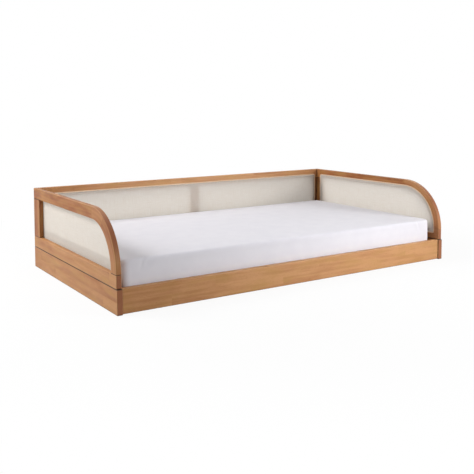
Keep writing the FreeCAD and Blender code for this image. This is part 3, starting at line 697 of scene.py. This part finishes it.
def makeTicking():
    finish, tree, shader = newFinish("quilted_ticking")
    coords = addNode(tree, "ShaderNodeTexCoord")
    turned = addNode(tree, "ShaderNodeMapping", {
        "Vector": coords.outputs["Object"], "Rotation": (0, 0, math.pi / 4)})
    sewn = []
    for direction in ("X", "Y"):
        sewn.append(addNode(tree, "ShaderNodeTexWave", {
            "Vector": turned.outputs[0], "Scale": waveWidth / ticking["diamond"]},
            wave_type="BANDS", bands_direction=direction))
    quilt = addNode(tree, "ShaderNodeMath", {
        0: sewn[0].outputs["Fac"], 1: sewn[1].outputs["Fac"]}, operation="MINIMUM")
    quilt = addNode(tree, "ShaderNodeMapRange", {
        "Value": quilt.outputs[0], "From Min": 0.0, "From Max": 0.3}, interpolation_type="SMOOTHSTEP")
    knit = addNode(tree, "ShaderNodeTexVoronoi", {
        "Vector": coords.outputs["Object"], "Scale": 1 / ticking["knit"]})
    colour = addNode(tree, "ShaderNodeMix", {
        "Factor": quilt.outputs[0], 6: linear(ticking["shade"]), 7: linear(ticking["white"])},
        data_type="RGBA")
    tree.links.new(colour.outputs[2], shader.inputs["Base Color"])
    height = addNode(tree, "ShaderNodeMath", {
        0: knit.outputs["Distance"], 1: 0.06, 2: quilt.outputs[0]}, operation="MULTIPLY_ADD")
    bump = addNode(tree, "ShaderNodeBump", {"Height": height.outputs[0], "Strength": 0.8, "Distance": 0.004})
    tree.links.new(bump.outputs["Normal"], shader.inputs["Normal"])
    shader.inputs["Roughness"].default_value = ticking["roughness"]
    shader.inputs["Sheen Weight"].default_value = ticking["sheen"]
    return finish


pad = makeMattress()
paint(pad, makeTicking())
print("mattress blown out:", len(pad.data.polygons), "faces")


# Fitted sheet in white cotton percale, drawn tight over the mattress: its top is nearly flat and its
# edges are crisp, a crease runs in from each corner's dart, and soft waves run down the sides
sheet = {
    "play": 0.0003,        # off the mattress
    "thickness": 0.0011,
    "inset": 0.0006,       # inside the CAD form, beyond its thickness
    "hem": 0.09,           # turned under the mattress
    "corner": 0.036,       # plan radius over the mattress's corners
    "edge": 0.012,         # rounding of the top and bottom edges
    "cell": 0.0125,
    "cornerFold": 0.0026,  # height of the folds at the corners
    "cornerReach": 0.11,
    "dart": 0.105,         # crease at each dart, from the corner along the long side
    "dartDepth": 0.0035,
    "sideFold": 0.0012,    # soft upright waves of the long sides
    "sideWave": 0.17,
    "ease": 0.0006,        # slow unevenness all over
}


def creaseHeight(along, inward, slant, reach):  # a narrow dip beside a low ridge, from the dart inwards
    share = min(max(inward / reach, 0.0), 1.0)
    aside = along - sheet["dart"] - slant * inward
    fade = (1 - share) ** 1.5
    ridge = 0.7 * math.exp(-((aside - 0.013) / 0.010) ** 2)
    dip = math.exp(-(aside / 0.007) ** 2)
    return sheet["dartDepth"] * fade * (ridge - dip)


def foldHeight(point, normal, low, high):
    # how far the sheet lifts off the mattress at a point
    nearX = min(point.x - low.x, high.x - point.x)
    nearY = min(point.y - low.y, high.y - point.y)
    onTop = max(0.0, normal.z)
    onSide = 1.0 - abs(normal.z)
    slow = noise.noise(Vector((point.x * 4.5, point.y * 6.0, point.z * 9.0 + 2.0)))
    lift = sheet["ease"] * (0.5 + 0.5 * slow)
    # folds that fan out of each corner over the top
    reach = math.hypot(nearX, nearY)
    fan = math.atan2(nearY, max(nearX, 0.0001))
    wander = 1.6 * noise.noise(Vector((point.x * 7.0, point.y * 7.0, 8.0)))
    folds = 0.5 + 0.5 * math.sin(fan * 9.0 + wander * 3.0 + point.x * 2.0)
    fade = math.exp(-reach / sheet["cornerReach"]) * min(reach / 0.05, 1.0)
    lift += onTop * sheet["cornerFold"] * folds ** 2 * fade
    # upright folds down the sides, tightest near the corners
    alongSide = nearX if abs(normal.y) > abs(normal.x) else nearY
    wave = 0.5 + 0.5 * math.sin(alongSide / 0.021 + wander * 2.5 + point.z * 14.0)
    fade = math.exp(-alongSide / (sheet["cornerReach"] * 0.9))
    lift += onSide * sheet["cornerFold"] * 0.8 * wave ** 2 * fade
    slow = noise.noise(Vector((point.x / sheet["sideWave"], point.y / sheet["sideWave"], point.z * 2.5)))
    lift += onSide * sheet["sideFold"] * (0.5 + 0.5 * slow)
    # the dart's crease, over the top and down the side
    if abs(normal.y) >= abs(normal.x):
        lift += onTop * creaseHeight(nearX, nearY, 1.1, 0.075)
        lift += onSide * creaseHeight(nearX, high.z - point.z, -0.25, 0.07)
    return lift


def makeSheet():
    low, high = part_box("fitted_sheet")
    cadForm = bmesh.new()
    cadForm.from_mesh(nodes["fitted_sheet"].data)
    cadTree = BVHTree.FromBMesh(cadForm)
    cadForm.free()
    skin = sheet["thickness"] + sheet["inset"]
    inner = [low[i] + skin for i in range(3)], [high[i] - skin for i in range(3)]
    inner[0][2] = low.z + sheet["thickness"]
    # a box with its uprights rounded, then its top and bottom edges
    bm = bmesh.new()
    bmesh.ops.create_cube(bm, size=1.0)
    for vert in bm.verts:
        vert.co = Vector([inner[1][i] if vert.co[i] > 0 else inner[0][i] for i in range(3)])
    uprights = [e for e in bm.edges if abs(e.verts[0].co.z - e.verts[1].co.z) > 0.01]
    bmesh.ops.bevel(bm, geom=uprights, offset=sheet["corner"], segments=5, profile=0.5,
                    affect="EDGES", material=-1)
    rims = [e for e in bm.edges if abs(e.verts[0].co.z - e.verts[1].co.z) < 0.0001]
    bmesh.ops.bevel(bm, geom=rims, offset=sheet["edge"], segments=4, profile=0.5,
                    affect="EDGES", material=-1)
    # cut into even cells, with cuts along the hem
    for axis in range(3):
        margin = sheet["edge"] + (sheet["corner"] if axis < 2 else 0.0)
        first, last = inner[0][axis] + margin, inner[1][axis] - margin
        count = round((last - first) / sheet["cell"])
        cuts = [first + (last - first) * step / count for step in range(count + 1)]
        if axis < 2:
            cuts += [low[axis] + sheet["hem"], high[axis] - sheet["hem"]]
        across = Vector([1.0 if i == axis else 0.0 for i in range(3)])
        for cut in cuts:
            bmesh.ops.bisect_plane(bm, geom=bm.verts[:] + bm.edges[:] + bm.faces[:], dist=0.0002,
                                   plane_co=across * cut, plane_no=across)
    under = []
    for f in bm.faces:
        middle = f.calc_center_median()
        inset = min(middle.x - low.x, high.x - middle.x, middle.y - low.y, high.y - middle.y)
        if f.normal.z < -0.9 and inset > sheet["hem"]:
            under.append(f)
    bmesh.ops.delete(bm, geom=under, context="FACES")
    # finer cells round the corners
    near = []
    for edge in bm.edges:
        middle = (edge.verts[0].co + edge.verts[1].co) / 2
        nearX = min(middle.x - low.x, high.x - middle.x)
        nearY = min(middle.y - low.y, high.y - middle.y)
        if nearX < 0.2 and nearY < 0.12 and middle.z > low.z + 0.05:
            near.append(edge)
    bmesh.ops.subdivide_edges(bm, edges=near, cuts=1, use_grid_fill=True)
    # it takes the crown and the swell of the CAD form, which has rounder edges
    for vert in bm.verts:
        x = min(max(vert.co.x, low.x + 0.03), high.x - 0.03)
        y = min(max(vert.co.y, low.y + 0.03), high.y - 0.03)
        z = min(max(vert.co.z, low.z + 0.03), high.z - 0.04)
        crest = cadTree.ray_cast(Vector((x, y, high.z + 0.1)), Vector((0, 0, -1)))[0]
        rise = (vert.co.z - inner[0][2]) / (inner[1][2] - inner[0][2])
        front = vert.co.y < (low.y + high.y) / 2
        edge, outward = (low.y, -1) if front else (high.y, 1)
        side = cadTree.ray_cast(Vector((x, edge + outward * 0.1, z)), Vector((0, -outward, 0)))[0]
        toSide = 1 - min((edge - vert.co.y) * outward / 0.05, 1.0)
        vert.co.z -= rise * (high.z - crest.z)
        vert.co.y += toSide * (side.y - edge)
    bm.normal_update()
    padForm = bmesh.new()
    padForm.from_mesh(pad.data)
    padTree = BVHTree.FromBMesh(padForm)
    padForm.free()
    lifts = [(v, v.normal.copy(), foldHeight(v.co, v.normal, low, high)) for v in bm.verts]
    for vert, normal, lift in lifts:
        if normal.z < -0.5:
            lift = 0.0
        vert.co += normal * lift
        # never into the mattress
        spot, facing = padTree.find_nearest(vert.co)[:2]
        depth = (vert.co - spot).dot(facing)
        if depth < sheet["play"] and normal.z > -0.5:
            vert.co += facing * (sheet["play"] - depth)
    cloth = addPiece("fitted_sheet_cloth", bm)
    body = cloth.modifiers.new("cloth thickness", "SOLIDIFY")
    body.thickness, body.offset = sheet["thickness"], 1.0
    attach(cloth, "mattress")
    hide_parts("fitted_sheet")
    return cloth


# White cotton percale: fine plain weave, matt, faintly cool, a little uneven in tone
percale = {
    "white": "#E7E5EB",
    "shade": "#E2E0E7",
    "thread": 0.0016,      # real threads are 0.25 mm apart, drawn coarser to show
    "roughness": 0.88,
    "sheen": 0.15,
}


def makePercale():
    finish, tree, shader = newFinish("cotton_percale")
    coords = addNode(tree, "ShaderNodeTexCoord")
    threads = []
    for direction in ("X", "Y", "Z"):
        threads.append(addNode(tree, "ShaderNodeTexWave", {
            "Vector": coords.outputs["Object"], "Scale": waveWidth / percale["thread"], "Distortion": 0.5,
            "Detail Scale": 0.2}, wave_type="BANDS", bands_direction=direction).outputs["Fac"])
    weave = addNode(tree, "ShaderNodeMath", {0: threads[0], 1: threads[1]}, operation="ADD")
    weave = addNode(tree, "ShaderNodeMath", {0: weave.outputs[0], 1: threads[2]}, operation="ADD")
    crumple = addNode(tree, "ShaderNodeTexNoise", {
        "Vector": coords.outputs["Object"], "Scale": 14.0, "Detail": 4.0, "Roughness": 0.55})
    tone = addNode(tree, "ShaderNodeMapRange", {
        "Value": crumple.outputs["Fac"], "From Min": 0.3, "From Max": 0.75})
    colour = addNode(tree, "ShaderNodeMix", {
        "Factor": tone.outputs[0], 6: linear(percale["white"]), 7: linear(percale["shade"])},
        data_type="RGBA")
    tree.links.new(colour.outputs[2], shader.inputs["Base Color"])
    fine = addNode(tree, "ShaderNodeBump", {"Height": weave.outputs[0], "Strength": 0.12, "Distance": 0.0003})
    soft = addNode(tree, "ShaderNodeBump", {
        "Height": crumple.outputs["Fac"], "Strength": 0.12, "Distance": 0.004,
        "Normal": fine.outputs["Normal"]})
    tree.links.new(soft.outputs["Normal"], shader.inputs["Normal"])
    shader.inputs["Roughness"].default_value = percale["roughness"]
    shader.inputs["Sheen Weight"].default_value = percale["sheen"]
    return finish


sheetCloth = makeSheet()
paint(sheetCloth, makePercale())
print("sheet fitted:", len(sheetCloth.data.polygons), "faces")


# Studio: white floor and surround, a soft lamp with a narrow beam at the front, a high one and a low
# one at the left, and weak ones overhead and at the right
studio = {
    "floorSize": 24.0,
    "floorWhite": "#F8F8F8",
    "floorBounce": "#B4B4B4",    # what it throws back at the bed
    "floorShadow": 0.08,         # share of the floor's look that takes shadow, near the bed
    "shadowStart": 0.9,          # where that starts to fade
    "shadowReach": 2.2,          # where it has faded out
    "surround": 0.18,            # strength of its light on the bed
    "lamps": {                   # place, aim, size, power and degrees of spread
        "front_lamp": ((1.9, -2.9, 1.0), (0.05, -0.3, 0.2), 1.1, 19.0, 80),
        "high_lamp": ((-3.0, 1.6, 2.8), (0.0, 0.0, 0.2), 1.4, 96.0, 180),
        "low_lamp": ((-3.8, 0.2, 1.5), (0.0, 0.0, 0.2), 1.8, 35.0, 180),
        "top_lamp": ((0.0, 0.3, 3.6), (0.0, 0.0, 0.2), 2.5, 22.0, 180),
        "right_lamp": ((3.5, 0.6, 1.6), (0.0, 0.0, 0.2), 1.6, 10.0, 180),
    },
}


def addLamp(name, place, aim, size, power, spread):
    data = bpy.data.lights.new(name, "AREA")
    data.shape, data.size, data.energy = "SQUARE", size, power
    data.spread = math.radians(spread)
    lamp = bpy.data.objects.new(name, data)
    scene.collection.objects.link(lamp)
    lamp.location = place
    lamp.rotation_mode = "QUATERNION"
    lamp.rotation_quaternion = (Vector(aim) - Vector(place)).to_track_quat("-Z", "Y")


def seenRays(tree):  # 1 for rays from the camera, off a gloss or through cloth, and 0 for the rest
    path = addNode(tree, "ShaderNodeLightPath")
    seen = addNode(tree, "ShaderNodeMath", {
        0: path.outputs["Is Camera Ray"], 1: path.outputs["Is Glossy Ray"]}, operation="MAXIMUM")
    return addNode(tree, "ShaderNodeMath", {
        0: seen.outputs[0], 1: path.outputs["Is Transmission Ray"]}, operation="MAXIMUM")


def makeStudio():
    bm = bmesh.new()
    bmesh.ops.create_grid(bm, x_segments=1, y_segments=1, size=studio["floorSize"] / 2)
    floor = addPiece("studio_floor", bm)
    finish = bpy.data.materials.new("white_studio_floor")
    finish.use_nodes = True
    tree = finish.node_tree
    tree.nodes.clear()
    seen = seenRays(tree)
    coords = addNode(tree, "ShaderNodeTexCoord")
    away = addNode(tree, "ShaderNodeVectorMath", {0: coords.outputs["Object"]}, operation="LENGTH")
    bright = addNode(tree, "ShaderNodeMapRange", {
        "Value": away.outputs["Value"], "From Min": studio["shadowStart"], "From Max": studio["shadowReach"],
        "To Min": 1 - studio["floorShadow"], "To Max": 1.0}, interpolation_type="SMOOTHSTEP")
    bright = addNode(tree, "ShaderNodeMath", {0: seen.outputs[0], 1: bright.outputs[0]}, operation="MULTIPLY")
    floorTone = addNode(tree, "ShaderNodeMix", {
        "Factor": seen.outputs[0], 6: linear(studio["floorBounce"]), 7: linear(studio["floorWhite"])},
        data_type="RGBA")
    paintwork = addNode(tree, "ShaderNodeBsdfDiffuse", {"Color": floorTone.outputs[2]})
    glow = addNode(tree, "ShaderNodeEmission", {"Color": (1, 1, 1, 1), "Strength": 1.0})
    mixed = addNode(tree, "ShaderNodeMixShader", {
        0: bright.outputs[0], 1: paintwork.outputs[0], 2: glow.outputs[0]})
    # seen from below, the floor lets the bed's underside show
    below = addNode(tree, "ShaderNodeNewGeometry")
    clear = addNode(tree, "ShaderNodeBsdfTransparent")
    oneSided = addNode(tree, "ShaderNodeMixShader", {
        0: below.outputs["Backfacing"], 1: mixed.outputs[0], 2: clear.outputs[0]})
    addNode(tree, "ShaderNodeOutputMaterial", {"Surface": oneSided.outputs[0]})
    paint(floor, finish)

    world = bpy.data.worlds.new("white_surround")
    scene.world = world
    world.use_nodes = True
    tree = world.node_tree
    tree.nodes.clear()
    seen = seenRays(tree)
    strength = addNode(tree, "ShaderNodeMapRange", {
        "Value": seen.outputs[0], "To Min": studio["surround"], "To Max": 1.0})
    light = addNode(tree, "ShaderNodeBackground", {"Color": (1, 1, 1, 1), "Strength": strength.outputs[0]})
    addNode(tree, "ShaderNodeOutputWorld", {"Surface": light.outputs[0]})

    for name, lamp in studio["lamps"].items():
        addLamp(name, *lamp)


makeStudio()


# Camera at the photograph's place
photoView = {
    "place": (-2.1779, -3.2192, 0.8864),
    "turn": 32.441,        # degrees to the right of straight ahead
    "dip": 3.813,          # degrees below level
    "roll": -0.185,
    "frame": 474,          # pixels across
    "focal": 706.29,       # the same unit
    "axis": (222.0, 150.0),    # where the optical axis meets the picture
    "sensor": 36.0,        # millimetres across
}


def makeCamera():
    view = photoView
    turn, dip, roll = (math.radians(view[key]) for key in ("turn", "dip", "roll"))
    ahead = Vector((math.sin(turn) * math.cos(dip), math.cos(turn) * math.cos(dip), -math.sin(dip)))
    across = Vector((math.cos(turn), -math.sin(turn), 0.0))
    up = across.cross(ahead)
    rolledAcross = across * math.cos(roll) + up * math.sin(roll)
    rolledUp = up * math.cos(roll) - across * math.sin(roll)
    data = bpy.data.cameras.new("photo_camera")
    data.sensor_width = view["sensor"]
    data.lens = view["focal"] / view["frame"] * view["sensor"]
    data.shift_x = (view["frame"] / 2 - view["axis"][0]) / view["frame"]
    data.shift_y = (view["axis"][1] - view["frame"] / 2) / view["frame"]
    camera = bpy.data.objects.new("photo_camera", data)
    scene.collection.objects.link(camera)
    camera.matrix_world = Matrix.Translation(Vector(view["place"])) @ Matrix(
        (rolledAcross, rolledUp, -ahead)).transposed().to_4x4()
    scene.camera = camera


makeCamera()
print("studio and camera set")
